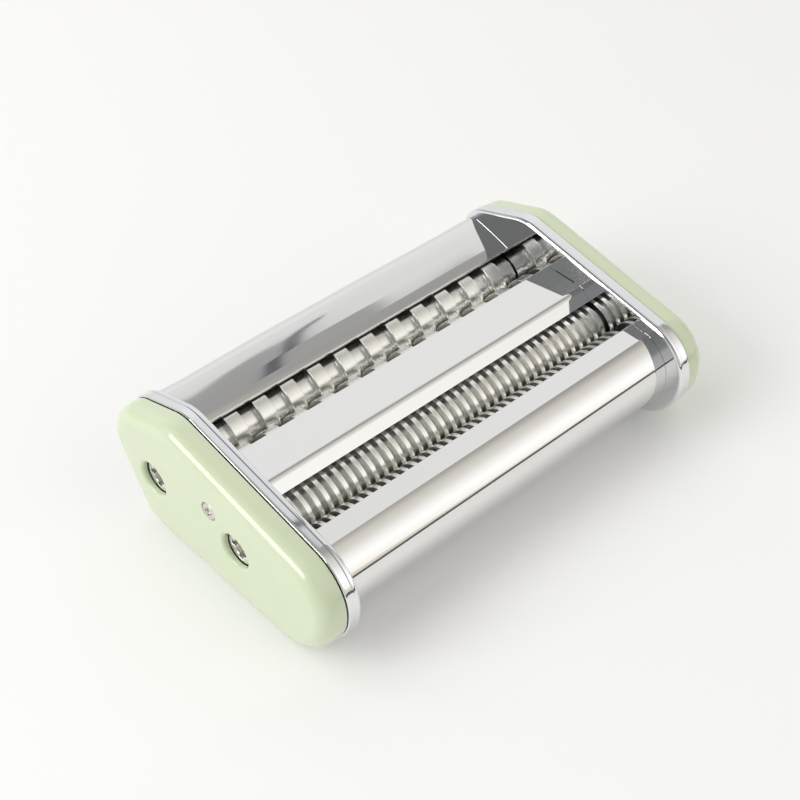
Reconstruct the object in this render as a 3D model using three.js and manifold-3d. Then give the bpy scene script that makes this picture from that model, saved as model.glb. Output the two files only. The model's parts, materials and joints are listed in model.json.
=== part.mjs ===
// Two-lane pasta cutter head, in millimetres.
// +X runs along the rollers, +Y points to the rear, +Z is up.
// The origin is on the surface it stands on, under the middle of its overall box.
// The crank end is at -X, the gear end at +X.
import * as THREE from 'three';
import { mergeVertices } from 'three/addons/utils/BufferGeometryUtils.js';
import Module from 'manifold-3d';

const wasm = await Module();
wasm.setup();

// ---------------------------------------------------------------- driving dimensions
const GAP = 0.3;                    // clearance left between touching pieces
const ARC_STEP = 12 * Math.PI / 180; // widest facet of a rounded outline

// Stack of one end, outwards from the middle of the machine (distance from x = 0)
const INNER_HALF = 80;              // inner face of a side plate
const SHEET = 1.2;                  // side plate thickness
const RIM_DEPTH = 5.6;              // how far the plate's rim stands out
const BEARING_IN = INNER_HALF + SHEET + GAP;
const BEARING_THICK = 2.5;
const BEARING_OUT = BEARING_IN + BEARING_THICK;
const CAP_DEPTH = 10.3;             // end cap beyond the rim
const CAP_IN = INNER_HALF + RIM_DEPTH + GAP;
const CAP_OUT = INNER_HALF + RIM_DEPTH + CAP_DEPTH;
const CAP_WALL = 2.2;               // face
const CAP_SIDE_WALL = 3;            // all round, behind the soft edge
const CAP_INSET = 0.7;              // the rim stands this far proud of the cap
const CAP_EDGE = 6;                 // soft edge of the cap
const CAP_EDGE_STEPS = 3;

// Outline of the machine's end, seen along X: corner (y, z) and its rounding
const END_OUTLINE = [
  { y: 41.9, z: 0, r: 11 },         // rear foot
  { y: 67.4, z: 43.1, r: 17 },      // rear shoulder
  { y: 25.5, z: 57.6, r: 18.5 },    // ridge
  { y: -60.5, z: 41.8, r: 19.5 },   // top of the nose
  { y: -58.5, z: 0, r: 25 },        // foot of the nose
];

// Rollers: two pairs, each with a driven rear roller and an idle front one
const AXIS_Z = 25.4;
const ROLLER_R = 11.2;
const FLOOR_R = 8.4;                // bottom of a groove
const PAIR_DISTANCE = 21.4;         // discs of a pair reach 1 mm into each other's grooves
const WIDE_REAR_Y = 34.5;
const NARROW_REAR_Y = -12.2;
const WIDE_PITCH = 13;              // cuts 6.5 mm ribbons
const NARROW_PITCH = 4.2;           // cuts 2.1 mm ribbons
const DISC_PLAY = 0.2;              // side play of a disc in its groove
const WIDE_START = -78.15;
const WIDE_DISCS = 12;
const NARROW_START = -78.75;
const NARROW_REAR_DISCS = 38;
const NARROW_FRONT_DISCS = 37;
const ROLLER_END = 79.4;
const WIDE_SIDES = 12;
const NARROW_SIDES = 8;
const SHAFT_R = 3.5;
const SHAFT_END = 93;               // both tips of a roller's shaft
const IDLE_LEFT_END = 87.6;
const FLAT_DEPTH = 0.8;             // flat that keys a gear to its shaft

// Gears at the +X end
const TEETH = 14;
const MODULE = PAIR_DISTANCE / TEETH;
const BACKLASH = 0.45;
const PRESSURE_ANGLE = 20 * Math.PI / 180;
const GEAR_IN = 86;
const GEAR_OUT = 91.4;

// Bushes, retaining rings, crank sockets
const BUSH_R = 5;
const BUSH_FLANGE_R = 6.6;
const BUSH_FLANGE = 1.1;
const BUSH_SIDES = 10;
const BUSH_PLAY = 0.05;             // between a bush and its shaft
const RING_R = 5.4;
const RING_THICK = 0.8;
const RING_GROOVE_R = 2.8;
const RING_MOUTH_HALF = 2;          // the clip is open at the bottom
const SOCKET_R = 6.3;
const SOCKET_BORE_R = 3.4;
const SOCKET_IN = 86;
const SOCKET_OUT = 93.4;
const SOCKET_SLOT = 2.2;
const SOCKET_SLOT_DEPTH = 3;
const SOCKET_SLOT_WALL = 1.4;       // left between a slot's end and the rim
const DRIVEN_LEFT_END = 89;
const CRANK_HOLE_R = 6.6;

// Cover sheets between the side plates
const COVER_SHEET = 0.8;
const COVER_HALF = INNER_HALF - GAP;
const TAB_HALF = INNER_HALF + 0.9;

// Tie rods (y, z) with their nuts; the centre rod is tapped for the two long cap screws
const ROD_R = 2.5;
const ROD_TIP_R = 1.9;
const ROD_SIDES = 10;
const NUT_R = 4;
const NUT_THICK = 3;
const ROD_PLACES = {
  rear_top: [47.5, 37.3],
  rear_bottom: [35, 7.8],
  front_bottom: [-43.2, 11.6],
};
const CENTRE_ROD = [1.2, 34.9];
const SCREW_HEAD_R = 3.3;
const SCREW_RIM = 0.5;              // height of the head's rim
const SCREW_CROWN_R = 1.9;
const SCREW_CROSS = [1.8, 0.45];    // half length and half width of each arm of its cross
const SCREW_SHANK_R = 1.6;
const SCREW_SINK = 0.9;             // depth of the seat in the cap
const SCREW_TIP = 72;
const TAPPED_DEPTH = 9;

// Stripping combs: a bar under each roller with a finger in every groove
const COMB_HALF = 4;
const COMB_THICK = 2;
const COMB_DROP = 0.4;              // between a roller and its bar
const FINGER_PLAY = 0.5;            // between a finger's tip and the groove's bottom
const FINGER_TURNS = [222, 246, 270]; // where the finger's inner face has its corners, in degrees
const FINGER_ROOT_TURN = 252;

// A cut from PIERCE_IN to PIERCE_OUT goes through every sheet of one end
const PIERCE_IN = 70;
const PIERCE_OUT = 101;
const ANY_WAY_OUT = 6;              // more than a shaft's radius

// ---------------------------------------------------------------- materials
function metal(color, roughness) {
  return new THREE.MeshStandardMaterial({ color, roughness, metalness: 1 });
}
const finishes = {
  green: () => new THREE.MeshStandardMaterial({ color: 0xc9dbb4, roughness: 0.22, metalness: 0 }),
  chrome: () => metal(0xe4e5e6, 0.08),
  polished: () => metal(0xd2d3d2, 0.12),
  roller: () => metal(0xc4c4c0, 0.3),
  steel: () => metal(0x9da0a2, 0.45),
  bronze: () => metal(0xb08a4e, 0.4),
  screw: () => metal(0xd3c6c1, 0.3),
  comb: () => new THREE.MeshStandardMaterial({ color: 0xe6e6e2, roughness: 0.5, metalness: 0 }),
};

// ---------------------------------------------------------------- outlines
// Corners moved inwards by a distance, with their rounding reduced to match.
function inset(corners, distance) {
  const lines = corners.map((a, i) => {
    const b = corners[(i + 1) % corners.length];
    const length = Math.hypot(b.y - a.y, b.z - a.z);
    const along = [(b.y - a.y) / length, (b.z - a.z) / length];
    return { point: [a.y - along[1] * distance, a.z + along[0] * distance], along };
  });
  return corners.map((corner, i) => {
    const before = lines[(i + lines.length - 1) % lines.length];
    const after = lines[i];
    const cross = before.along[0] * after.along[1] - before.along[1] * after.along[0];
    const dy = after.point[0] - before.point[0];
    const dz = after.point[1] - before.point[1];
    const t = (dy * after.along[1] - dz * after.along[0]) / cross;
    return {
      y: before.point[0] + before.along[0] * t,
      z: before.point[1] + before.along[1] * t,
      r: Math.max(corner.r - distance, 0.5),
    };
  });
}

// Points of the arc that rounds corner b between a and c.
function roundedCorner(a, b, c) {
  const unit = (p) => {
    const length = Math.hypot(p.y - b.y, p.z - b.z);
    return [(p.y - b.y) / length, (p.z - b.z) / length];
  };
  const u = unit(a);
  const v = unit(c);
  const half = Math.acos(u[0] * v[0] + u[1] * v[1]) / 2;
  const reach = b.r / Math.tan(half);
  const middle = Math.hypot(u[0] + v[0], u[1] + v[1]);
  const out = b.r / Math.sin(half) / middle;
  const cy = b.y + (u[0] + v[0]) * out;
  const cz = b.z + (u[1] + v[1]) * out;
  const from = Math.atan2(b.z + u[1] * reach - cz, b.y + u[0] * reach - cy);
  const to = Math.atan2(b.z + v[1] * reach - cz, b.y + v[0] * reach - cy);
  const turn = Math.atan2(Math.sin(to - from), Math.cos(to - from));
  const steps = Math.max(1, Math.ceil(Math.abs(turn) / ARC_STEP));
  const points = [];
  for (let i = 0; i <= steps; i += 1) {
    const angle = from + turn * i / steps;
    points.push(new THREE.Vector2(cy + b.r * Math.cos(angle), cz + b.r * Math.sin(angle)));
  }
  return points;
}

function closedOutline(corners) {
  const count = corners.length;
  const arcs = corners.map((corner, i) => (
    roundedCorner(corners[(i + count - 1) % count], corner, corners[(i + 1) % count])));
  return new THREE.Shape(arcs.flat());
}

// Open bend line with rounded inner corners; ends stay sharp.
function bendLine(corners) {
  return corners.flatMap((corner, i) => {
    if (!corner.r || i === 0 || i === corners.length - 1) {
      return [new THREE.Vector2(corner.y, corner.z)];
    }
    return roundedCorner(corners[i - 1], corner, corners[i + 1]);
  });
}

// A sheet whose outer face follows the line; its thickness is to the line's left.
function sheetShape(line, thickness) {
  const inner = line.map((point, i) => {
    const before = line[Math.max(i - 1, 0)];
    const after = line[Math.min(i + 1, line.length - 1)];
    const a = new THREE.Vector2().subVectors(point, before).normalize();
    const b = new THREE.Vector2().subVectors(after, point).normalize();
    if (a.length() === 0) a.copy(b);
    if (b.length() === 0) b.copy(a);
    const middle = new THREE.Vector2().addVectors(a, b).normalize();
    const stretch = thickness / middle.dot(a);
    return new THREE.Vector2(point.x - middle.y * stretch, point.y + middle.x * stretch);
  });
  return new THREE.Shape([...line, ...inner.reverse()]);
}

function circle(y, z, radius, sides, phase = 0) {
  const points = [];
  for (let i = 0; i < sides; i += 1) {
    const angle = phase + 2 * Math.PI * i / sides;
    points.push(new THREE.Vector2(y + radius * Math.cos(angle), z + radius * Math.sin(angle)));
  }
  return new THREE.Shape(points);
}

function rectangle(y0, z0, y1, z1) {
  return new THREE.Shape([[y0, z0], [y1, z0], [y1, z1], [y0, z1]].map((p) => new THREE.Vector2(...p)));
}

// ---------------------------------------------------------------- solids
// A shape drawn in (y, z) and extruded along +X from x0 to x1.
function alongX(shape, x0, x1) {
  const geometry = new THREE.ExtrudeGeometry(shape, { depth: x1 - x0, bevelEnabled: false });
  return laidAlongX(geometry, x0);
}

function laidAlongX(geometry, x0) {
  const basis = new THREE.Matrix4().makeBasis(
    new THREE.Vector3(0, 1, 0), new THREE.Vector3(0, 0, 1), new THREE.Vector3(1, 0, 0));
  geometry.applyMatrix4(basis);
  geometry.translate(x0, 0, 0);
  return geometry;
}

// A profile of [radius, x] pairs turned about the line through (y, z) along X.
function turned(profile, y, z, sides) {
  const points = profile.map(([radius, x]) => new THREE.Vector2(radius, x));
  const geometry = new THREE.LatheGeometry(points, sides);
  geometry.rotateZ(-Math.PI / 2);
  geometry.translate(0, y, z);
  return geometry;
}

function solid(geometry) {
  const bare = geometry.clone();
  bare.deleteAttribute('normal');
  bare.deleteAttribute('uv');
  const merged = mergeVertices(bare, 1e-4);
  const index = merged.index.array;
  const kept = [];
  for (let i = 0; i < index.length; i += 3) {
    const [a, b, c] = [index[i], index[i + 1], index[i + 2]];
    if (a !== b && b !== c && c !== a) kept.push(a, b, c);
  }
  return new wasm.Manifold(new wasm.Mesh({
    numProp: 3,
    vertProperties: new Float32Array(merged.attributes.position.array),
    triVerts: new Uint32Array(kept),
  }));
}

function geometryOf(manifold) {
  const mesh = manifold.getMesh();
  const geometry = new THREE.BufferGeometry();
  geometry.setAttribute('position', new THREE.BufferAttribute(new Float32Array(mesh.vertProperties), 3));
  geometry.setIndex(new THREE.BufferAttribute(new Uint32Array(mesh.triVerts), 1));
  return geometry;
}

function cut(body, tools) {
  return tools.reduce((rest, tool) => rest.subtract(solid(tool)), body);
}

function joined(geometries) {
  return geometries.map(solid).reduce((whole, piece) => whole.add(piece));
}

// The same piece at the other end: x changes sign and the faces turn over.
function otherEnd(geometry) {
  const flipped = geometry.clone();
  flipped.scale(-1, 1, 1);
  const index = flipped.index.array;
  for (let i = 0; i < index.length; i += 3) {
    [index[i], index[i + 1]] = [index[i + 1], index[i]];
  }
  flipped.deleteAttribute('normal');
  return flipped;
}

// ---------------------------------------------------------------- places that repeat
const ROLLERS = [
  { name: 'wide_rear', y: WIDE_REAR_Y, driven: true, wide: true },
  { name: 'wide_front', y: WIDE_REAR_Y - PAIR_DISTANCE, driven: false, wide: true },
  { name: 'narrow_rear', y: NARROW_REAR_Y, driven: true, wide: false },
  { name: 'narrow_front', y: NARROW_REAR_Y - PAIR_DISTANCE, driven: false, wide: false },
];

// Bend lines of the covers, walked so that the machine's inside is on the left.
const REAR_COVER = [
  { y: 33, z: 2.6 },
  { y: 37.6, z: 2.6 },
  { y: 63.3, z: 46, r: 5.6 },
  { y: 32.7, z: 38.7 },
  { y: 33, z: 37.5 },
];
const MIDDLE_COVER = [
  { y: 11.3, z: 40.9 },
  { y: 10.9, z: 42.5 },
  { y: -7.8, z: 42.4, r: 1.6 },
  { y: -12, z: 38.2 },
];
const FRONT_COVER = [
  { y: -33.2, z: 38.5 },
  { y: -32.8, z: 40.1 },
  { y: -41.5, z: 39.36 },
  { y: -52.8, z: 35.6, r: 16.4 },
  { y: -52.8, z: 5, r: 18.4 },
  { y: -30, z: 5 },
];

// Stretches of the bend lines that carry a tab into the side plates.
const TABS = {
  rear_cover: [[[51, 43.07], [43, 41.17]], [[45, 15.1], [50, 23.55]]],
  middle_cover: [[[6, 42.5], [-3, 42.5]]],
  front_cover: [[[-34.5, 39.95], [-39.5, 39.55]], [[-33, 5], [-31, 5]]],
};

// ---------------------------------------------------------------- sheet metal
const vector = ([y, z]) => new THREE.Vector2(y, z);

function tabShape(stretch, play) {
  const [from, to] = stretch.map(vector);
  const along = new THREE.Vector2().subVectors(to, from).normalize();
  const aside = new THREE.Vector2(-along.y, along.x);
  const start = from.clone().addScaledVector(along, -play).addScaledVector(aside, -play);
  const end = to.clone().addScaledVector(along, play).addScaledVector(aside, -play);
  return sheetShape([start, end], COVER_SHEET + 2 * play);
}

function cover(name, corners) {
  const body = alongX(sheetShape(bendLine(corners), COVER_SHEET), -COVER_HALF, COVER_HALF);
  const tabs = TABS[name].map((stretch) => alongX(tabShape(stretch, 0), -TAB_HALF, TAB_HALF));
  return geometryOf(joined([body, ...tabs]));
}

function platePiercings() {
  const holes = ROLLERS.map((roller) => circle(roller.y, AXIS_Z, BUSH_R + GAP, BUSH_SIDES));
  const rods = [...Object.values(ROD_PLACES), CENTRE_ROD];
  holes.push(...rods.map(([y, z]) => circle(y, z, ROD_TIP_R + GAP, 8)));
  return holes;
}

function sidePlate() {
  const blank = solid(alongX(closedOutline(END_OUTLINE), INNER_HALF, INNER_HALF + RIM_DEPTH));
  const pocket = alongX(closedOutline(inset(END_OUTLINE, SHEET)), INNER_HALF + SHEET, CAP_OUT);
  const slots = Object.values(TABS).flat().map((stretch) => tabShape(stretch, GAP));
  slots.push(...ROLLERS.map((roller) => combBar(roller, GAP)));
  const piercings = [...platePiercings(), ...slots].map((shape) => alongX(shape, PIERCE_IN, PIERCE_OUT));
  return geometryOf(cut(blank, [pocket, ...piercings]));
}

function bearingPlate() {
  const outline = closedOutline(inset(END_OUTLINE, SHEET + 4 * GAP));
  const blank = solid(alongX(outline, BEARING_IN, BEARING_OUT));
  const piercings = platePiercings().map((shape) => alongX(shape, PIERCE_IN, PIERCE_OUT));
  return geometryOf(cut(blank, piercings));
}

// ---------------------------------------------------------------- end caps
function endCap(holes) {
  const skin = inset(END_OUTLINE, CAP_INSET);
  const softBlock = new THREE.ExtrudeGeometry(closedOutline(skin), {
    depth: CAP_DEPTH,
    bevelThickness: CAP_EDGE,
    bevelSize: CAP_EDGE,
    bevelOffset: -CAP_EDGE,
    bevelSegments: CAP_EDGE_STEPS,
  });
  const outside = solid(laidAlongX(softBlock, CAP_OUT - CAP_EDGE - CAP_DEPTH));
  const behind = alongX(closedOutline(END_OUTLINE), 0, CAP_IN);
  const inside = alongX(closedOutline(inset(skin, CAP_SIDE_WALL)), 0, CAP_OUT - CAP_WALL);
  return geometryOf(cut(outside, [behind, inside, ...holes]));
}

function screwSeat() {
  const [y, z] = CENTRE_ROD;
  return [
    alongX(circle(y, z, SCREW_HEAD_R + GAP, 14), CAP_OUT - SCREW_SINK, PIERCE_OUT),
    alongX(circle(y, z, SCREW_SHANK_R + GAP, 8), PIERCE_IN, PIERCE_OUT),
  ];
}

function crankHoles() {
  return ROLLERS.filter((roller) => roller.driven)
    .map((roller) => alongX(circle(roller.y, AXIS_Z, CRANK_HOLE_R, 20), PIERCE_IN, PIERCE_OUT));
}

// ---------------------------------------------------------------- rollers and what they carry
// [radius, x] steps of a row of discs; each disc is half a pitch wide less its side play.
function discSteps(start, pitch, count) {
  const steps = [];
  for (let i = 0; i < count; i += 1) {
    const left = start + i * pitch + DISC_PLAY / 2;
    const right = start + (i + 0.5) * pitch - DISC_PLAY / 2;
    steps.push([FLOOR_R, left], [ROLLER_R, left], [ROLLER_R, right], [FLOOR_R, right]);
  }
  return steps;
}

function ringGroove(x, side) {
  const near = x - side * GAP;
  const far = x + side * (RING_THICK + GAP);
  return [[SHAFT_R, near], [RING_GROOVE_R, near], [RING_GROOVE_R, far], [SHAFT_R, far]];
}

function rollerLayout({ wide, driven }) {
  if (wide) {
    const start = WIDE_START + (driven ? 0 : WIDE_PITCH / 2);
    return { start, pitch: WIDE_PITCH, count: WIDE_DISCS, sides: WIDE_SIDES };
  }
  const start = NARROW_START + (driven ? 0 : NARROW_PITCH / 2);
  const count = driven ? NARROW_REAR_DISCS : NARROW_FRONT_DISCS;
  return { start, pitch: NARROW_PITCH, count, sides: NARROW_SIDES };
}

const LEFT_RING_X = -(BEARING_OUT + BUSH_FLANGE + GAP);
const RIGHT_RING_X = GEAR_OUT + GAP / 2;

// Everything above the flat of a shaft, seen along X.
function aboveFlat({ y }, play) {
  const flatZ = AXIS_Z + SHAFT_R - FLAT_DEPTH + play;
  return rectangle(y - ANY_WAY_OUT, flatZ, y + ANY_WAY_OUT, flatZ + ANY_WAY_OUT);
}

function roller(spec) {
  const { start, pitch, count, sides } = rollerLayout(spec);
  const leftTip = spec.driven ? -DRIVEN_LEFT_END : -IDLE_LEFT_END;
  const leftGroove = spec.driven ? [] : ringGroove(LEFT_RING_X, -1).reverse();
  const profile = [
    [0, leftTip],
    [SHAFT_R, leftTip],
    ...leftGroove,
    [SHAFT_R, -ROLLER_END],
    [FLOOR_R, -ROLLER_END],
    ...discSteps(start, pitch, count),
    [FLOOR_R, ROLLER_END],
    [SHAFT_R, ROLLER_END],
    ...ringGroove(RIGHT_RING_X, 1),
    [SHAFT_R, SHAFT_END],
    [0, SHAFT_END],
  ];
  const flat = alongX(aboveFlat(spec, 0), GEAR_IN - GAP, PIERCE_OUT);
  return geometryOf(cut(solid(turned(profile, spec.y, AXIS_Z, sides)), [flat]));
}

// Half the angle that a tooth spans at a radius on its involute flank.
function toothHalfAngle(radius) {
  const pitchRadius = MODULE * TEETH / 2;
  const involute = (angle) => Math.tan(angle) - angle;
  const base = pitchRadius * Math.cos(PRESSURE_ANGLE);
  const atRadius = Math.acos(Math.min(1, base / radius));
  const thickness = Math.PI * MODULE / 2 - BACKLASH;
  return thickness / (2 * pitchRadius) + involute(PRESSURE_ANGLE) - involute(atRadius);
}

function gearShape(y, z, firstTooth) {
  const pitchRadius = MODULE * TEETH / 2;
  const base = pitchRadius * Math.cos(PRESSURE_ANGLE);
  const root = pitchRadius - 1.1 * MODULE;
  const flank = [base, pitchRadius + 0.8 * MODULE];
  const points = [];
  const add = (radius, angle) => {
    points.push(new THREE.Vector2(y + radius * Math.cos(angle), z + radius * Math.sin(angle)));
  };
  for (let i = 0; i < TEETH; i += 1) {
    const middle = firstTooth + 2 * Math.PI * i / TEETH;
    add(root, middle - toothHalfAngle(base));
    flank.forEach((radius) => add(radius, middle - toothHalfAngle(radius)));
    [...flank].reverse().forEach((radius) => add(radius, middle + toothHalfAngle(radius)));
    add(root, middle + toothHalfAngle(base));
  }
  return new THREE.Shape(points);
}

function gear(spec) {
  // A driven gear has a tooth towards its partner, an idle gear has a gap there.
  const towardsFront = Math.PI;
  const firstTooth = spec.driven ? towardsFront : Math.PI / TEETH;
  const disc = solid(alongX(gearShape(spec.y, AXIS_Z, firstTooth), GEAR_IN, GEAR_OUT));
  const bore = solid(alongX(circle(spec.y, AXIS_Z, SHAFT_R + GAP, 12), PIERCE_IN, PIERCE_OUT));
  const key = solid(alongX(aboveFlat(spec, GAP), PIERCE_IN, PIERCE_OUT));
  return geometryOf(disc.subtract(bore.subtract(key)));
}

function bush(spec) {
  const bore = (SHAFT_R + BUSH_PLAY) / Math.cos(Math.PI / BUSH_SIDES);
  const flangeOut = BEARING_OUT + GAP + BUSH_FLANGE;
  const profile = [
    [bore, INNER_HALF + GAP],
    [BUSH_R, INNER_HALF + GAP],
    [BUSH_R, BEARING_OUT + GAP],
    [BUSH_FLANGE_R, BEARING_OUT + GAP],
    [BUSH_FLANGE_R, flangeOut],
    [bore, flangeOut],
    [bore, INNER_HALF + GAP],
  ];
  return turned(profile, spec.y, AXIS_Z, BUSH_SIDES);
}

function retainingRing(spec, x) {
  const ring = solid(alongX(circle(spec.y, AXIS_Z, RING_R, 12), x, x + RING_THICK));
  const around = [x - GAP, x + RING_THICK + GAP];
  const bore = alongX(circle(spec.y, AXIS_Z, RING_GROOVE_R + GAP, 8), ...around);
  const low = AXIS_Z - ANY_WAY_OUT;
  const mouth = alongX(rectangle(spec.y - RING_MOUTH_HALF, low, spec.y + RING_MOUTH_HALF, AXIS_Z), ...around);
  return geometryOf(cut(ring, [bore, mouth]));
}

function crankSocket(spec) {
  const profile = [
    [0, -SOCKET_OUT],
    [SOCKET_R, -SOCKET_OUT],
    [SOCKET_R, -SOCKET_IN],
    [0, -SOCKET_IN],
  ];
  const tools = [
    alongX(circle(spec.y, AXIS_Z, SOCKET_BORE_R, 14), -PIERCE_OUT, -DRIVEN_LEFT_END - GAP),
    alongX(circle(spec.y, AXIS_Z, SHAFT_R + GAP, 14), -DRIVEN_LEFT_END - 2 * GAP, -PIERCE_IN),
  ];
  const half = SOCKET_SLOT / 2;
  const reach = SOCKET_R - SOCKET_SLOT_WALL;
  const slotX = [-PIERCE_OUT, -SOCKET_OUT + SOCKET_SLOT_DEPTH];
  tools.push(alongX(rectangle(spec.y - reach, AXIS_Z - half, spec.y + reach, AXIS_Z + half), ...slotX));
  tools.push(alongX(rectangle(spec.y - half, AXIS_Z - reach, spec.y + half, AXIS_Z + reach), ...slotX));
  return geometryOf(cut(solid(turned(profile, spec.y, AXIS_Z, 20)), tools));
}

// ---------------------------------------------------------------- stripping combs
// A comb's bar lies under its roller, and its fingers reach up into the grooves.
function combBar({ y }, play) {
  const top = AXIS_Z - ROLLER_R - COMB_DROP;
  const out = COMB_HALF + play;
  return rectangle(y - out, top - COMB_THICK - play, y + out, top + play);
}

function combFinger({ y, driven }) {
  const side = driven ? 1 : -1;
  const tip = FLOOR_R + FINGER_PLAY;
  const root = ROLLER_R + COMB_DROP + COMB_THICK / 2;
  const at = (radius, degrees) => new THREE.Vector2(
    y + side * radius * Math.cos(degrees * Math.PI / 180),
    AXIS_Z + radius * Math.sin(degrees * Math.PI / 180));
  const points = FINGER_TURNS.map((degrees) => at(tip, degrees));
  points.push(at(root, FINGER_TURNS.at(-1)), at(root, FINGER_ROOT_TURN));
  return new THREE.Shape(side > 0 ? points.reverse() : points);
}

function comb(spec) {
  const { start, pitch, count } = rollerLayout(spec);
  const pieces = [alongX(combBar(spec, 0), -TAB_HALF, TAB_HALF)];
  const play = 1.5 * DISC_PLAY;
  for (let i = 0; i < count; i += 1) {
    const left = start + (i + 0.5) * pitch + play;
    const right = start + (i + 1) * pitch - play;
    if (right < ROLLER_END) pieces.push(alongX(combFinger(spec), left, right));
  }
  return geometryOf(joined(pieces));
}

// ---------------------------------------------------------------- rods and fasteners
function tieRod([y, z]) {
  const tip = BEARING_OUT + NUT_THICK + 1;
  const profile = [
    [0, -tip],
    [ROD_TIP_R, -tip],
    [ROD_TIP_R, -COVER_HALF],
    [ROD_R, -COVER_HALF],
    [ROD_R, COVER_HALF],
    [ROD_TIP_R, COVER_HALF],
    [ROD_TIP_R, tip],
    [0, tip],
  ];
  return turned(profile, y, z, ROD_SIDES);
}

function centreRod([y, z]) {
  const bottom = COVER_HALF - TAPPED_DEPTH;
  const profile = [
    [0, -bottom],
    [ROD_TIP_R, -bottom],
    [ROD_TIP_R, -COVER_HALF],
    [ROD_R, -COVER_HALF],
    [ROD_R, COVER_HALF],
    [ROD_TIP_R, COVER_HALF],
    [ROD_TIP_R, bottom],
    [0, bottom],
  ];
  return turned(profile, y, z, ROD_SIDES);
}

function nut([y, z]) {
  const hexagon = solid(alongX(circle(y, z, NUT_R, 6), BEARING_OUT + GAP, BEARING_OUT + GAP + NUT_THICK));
  return geometryOf(cut(hexagon, [alongX(circle(y, z, ROD_TIP_R + GAP, 8), PIERCE_IN, PIERCE_OUT)]));
}

function capScrew([y, z]) {
  const seat = CAP_OUT - SCREW_SINK + GAP;
  const profile = [
    [0, SCREW_TIP],
    [SCREW_SHANK_R, SCREW_TIP],
    [SCREW_SHANK_R, seat],
    [SCREW_HEAD_R, seat],
    [SCREW_HEAD_R, seat + SCREW_RIM],
    [SCREW_CROWN_R, CAP_OUT],
    [0, CAP_OUT],
  ];
  const cross = [SCREW_CROSS, [...SCREW_CROSS].reverse()].map(([a, b]) => (
    alongX(rectangle(y - a, z - b, y + a, z + b), seat + SCREW_RIM / 4, PIERCE_OUT)));
  return geometryOf(cut(solid(turned(profile, y, z, 12)), cross));
}

// ---------------------------------------------------------------- assembly
const cutterHead = new THREE.Group();

function place(name, geometry, finish) {
  const mesh = new THREE.Mesh(geometry, finishes[finish]());
  mesh.name = name;
  cutterHead.add(mesh);
}

function placeBothEnds(name, rightGeometry, finish) {
  place(`right_${name}`, rightGeometry, finish);
  place(`left_${name}`, otherEnd(rightGeometry), finish);
}

placeBothEnds('side_plate', sidePlate(), 'chrome');
placeBothEnds('bearing_plate', bearingPlate(), 'steel');
place('right_end_cap', endCap(screwSeat()), 'green');
place('left_end_cap', otherEnd(endCap([...screwSeat(), ...crankHoles()])), 'green');

place('rear_cover', cover('rear_cover', REAR_COVER), 'polished');
place('middle_cover', cover('middle_cover', MIDDLE_COVER), 'polished');
place('front_cover', cover('front_cover', FRONT_COVER), 'polished');

for (const spec of ROLLERS) {
  place(`${spec.name}_cutter`, roller(spec), 'roller');
  place(`${spec.name}_gear`, gear(spec), 'steel');
  placeBothEnds(`${spec.name}_bush`, bush(spec), 'bronze');
  place(`${spec.name}_gear_ring`, retainingRing(spec, RIGHT_RING_X), 'steel');
  place(`${spec.name}_comb`, comb(spec), 'comb');
  if (spec.driven) {
    place(`${spec.name}_crank_socket`, crankSocket(spec), 'roller');
  } else {
    place(`${spec.name}_shaft_ring`, retainingRing(spec, LEFT_RING_X - RING_THICK), 'steel');
  }
}

for (const [name, spot] of Object.entries(ROD_PLACES)) {
  place(`${name}_tie_rod`, tieRod(spot), 'steel');
  placeBothEnds(`${name}_nut`, nut(spot), 'steel');
}
place('centre_tie_rod', centreRod(CENTRE_ROD), 'steel');
placeBothEnds('cap_screw', capScrew(CENTRE_ROD), 'screw');

export default cutterHead;
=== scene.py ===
import json
import math

import bmesh
import bpy
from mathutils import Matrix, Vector


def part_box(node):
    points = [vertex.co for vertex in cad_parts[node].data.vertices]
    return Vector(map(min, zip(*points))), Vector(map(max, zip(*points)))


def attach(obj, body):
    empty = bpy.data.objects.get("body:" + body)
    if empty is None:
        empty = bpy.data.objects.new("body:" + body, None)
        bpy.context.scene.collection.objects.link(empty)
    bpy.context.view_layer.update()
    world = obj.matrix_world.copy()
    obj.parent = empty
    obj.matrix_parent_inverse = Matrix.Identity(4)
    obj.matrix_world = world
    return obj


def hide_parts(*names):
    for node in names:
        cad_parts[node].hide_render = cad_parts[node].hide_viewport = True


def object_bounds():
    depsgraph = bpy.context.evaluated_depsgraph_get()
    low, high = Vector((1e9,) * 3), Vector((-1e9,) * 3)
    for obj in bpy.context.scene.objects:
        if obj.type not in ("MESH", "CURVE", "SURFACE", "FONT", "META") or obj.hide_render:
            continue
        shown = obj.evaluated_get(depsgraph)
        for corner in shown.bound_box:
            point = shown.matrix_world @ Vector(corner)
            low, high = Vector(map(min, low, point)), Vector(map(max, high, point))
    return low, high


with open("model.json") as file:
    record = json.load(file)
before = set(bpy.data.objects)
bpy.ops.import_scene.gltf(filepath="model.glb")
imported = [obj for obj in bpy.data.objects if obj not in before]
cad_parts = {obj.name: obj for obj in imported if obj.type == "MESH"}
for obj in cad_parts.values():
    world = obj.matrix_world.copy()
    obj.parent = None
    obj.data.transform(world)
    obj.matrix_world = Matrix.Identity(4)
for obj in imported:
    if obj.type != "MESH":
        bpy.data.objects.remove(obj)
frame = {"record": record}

CAD_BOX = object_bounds()

# The looks of a two-lane pasta cutter head. Shapes are drawn in millimetres in the part's own frame:
# +X along the rollers, +Y to the rear, +Z up. Rings of points lie across X and are joined into shells.
MM = 0.001

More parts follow.
